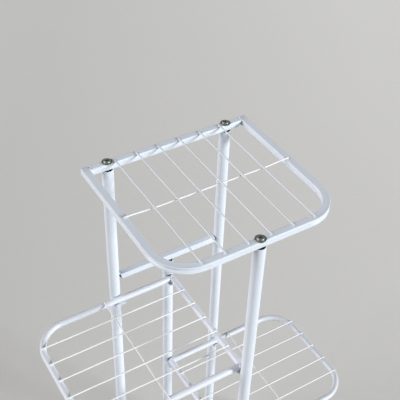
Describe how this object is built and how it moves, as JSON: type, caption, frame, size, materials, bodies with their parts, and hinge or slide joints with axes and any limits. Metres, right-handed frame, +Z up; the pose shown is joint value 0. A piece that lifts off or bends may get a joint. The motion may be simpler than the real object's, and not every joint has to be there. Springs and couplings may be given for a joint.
{
  "type": "tiered plant stand",
  "caption": "Staggered tiered stand of white coated steel tube: a wire top tray on round uprights, wire side trays at lower levels to the left and right, and a low base frame.",
  "frame": {"origin": "middle of the base on the floor, under the centre of the bounding box", "axes": "+Z up along the uprights, +X to the right along the crossbar, +Y to the back where the crossbar is"},
  "size_m": [0.4604, 0.232, 0.7586],
  "materials": {
    "frame_coat": "semi-gloss white powder coat",
    "wire_coat": "semi-gloss white powder coat on wire",
    "screw_steel": "dark zinc-nickel plated steel",
    "insert_nylon": "black moulded nylon",
    "foot_plastic": "light grey moulded plastic"
  },
  "bodies": {
    "root": {"base_frame": "frame_coat", "base_insert_back_left": "insert_nylon", "base_insert_back_right": "insert_nylon", "base_insert_front": "insert_nylon", "base_screw_back_left": "screw_steel", "base_screw_back_right": "screw_steel", "base_screw_front": "screw_steel", "crossbar": "frame_coat", "foot_back_left": "foot_plastic", "foot_back_right": "foot_plastic", "foot_front_left": "foot_plastic", "foot_front_right": "foot_plastic", "left_tray_bent_rail": "frame_coat", "left_tray_cross_wire": "wire_coat", "left_tray_inner_rail": "frame_coat", "left_tray_screw_back_left": "screw_steel", "left_tray_screw_back_middle": "screw_steel", "left_tray_screw_front": "screw_steel", "left_tray_tab_back_left": "frame_coat", "left_tray_tab_back_middle": "frame_coat", "left_tray_tab_front": "frame_coat", "left_tray_wire_1": "wire_coat", "left_tray_wire_2": "wire_coat", "left_tray_wire_3": "wire_coat", "left_tray_wire_4": "wire_coat", "left_tray_wire_5": "wire_coat", "right_tray_bent_rail": "frame_coat", "right_tray_cross_wire": "wire_coat", "right_tray_inner_rail": "frame_coat", "right_tray_screw_back_middle": "screw_steel", "right_tray_screw_back_right": "screw_steel", "right_tray_screw_front": "screw_steel", "right_tray_tab_back_middle": "frame_coat", "right_tray_tab_back_right": "frame_coat", "right_tray_tab_front": "frame_coat", "right_tray_wire_1": "wire_coat", "right_tray_wire_2": "wire_coat", "right_tray_wire_3": "wire_coat", "right_tray_wire_4": "wire_coat", "right_tray_wire_5": "wire_coat", "top_insert_back_left": "insert_nylon", "top_insert_back_right": "insert_nylon", "top_insert_front": "insert_nylon", "top_tray_back_rail": "frame_coat", "top_tray_bent_rail": "frame_coat", "top_tray_cross_wire": "wire_coat", "top_tray_wire_1": "wire_coat", "top_tray_wire_2": "wire_coat", "top_tray_wire_3": "wire_coat", "top_tray_wire_4": "wire_coat", "top_tray_wire_5": "wire_coat", "top_tray_wire_6": "wire_coat", "tray_screw_back_left": "screw_steel", "tray_screw_back_right": "screw_steel", "tray_screw_front": "screw_steel", "upright_back_left": "frame_coat", "upright_back_middle": "frame_coat", "upright_back_right": "frame_coat", "upright_front": "frame_coat"}
  },
  "joints": []
}
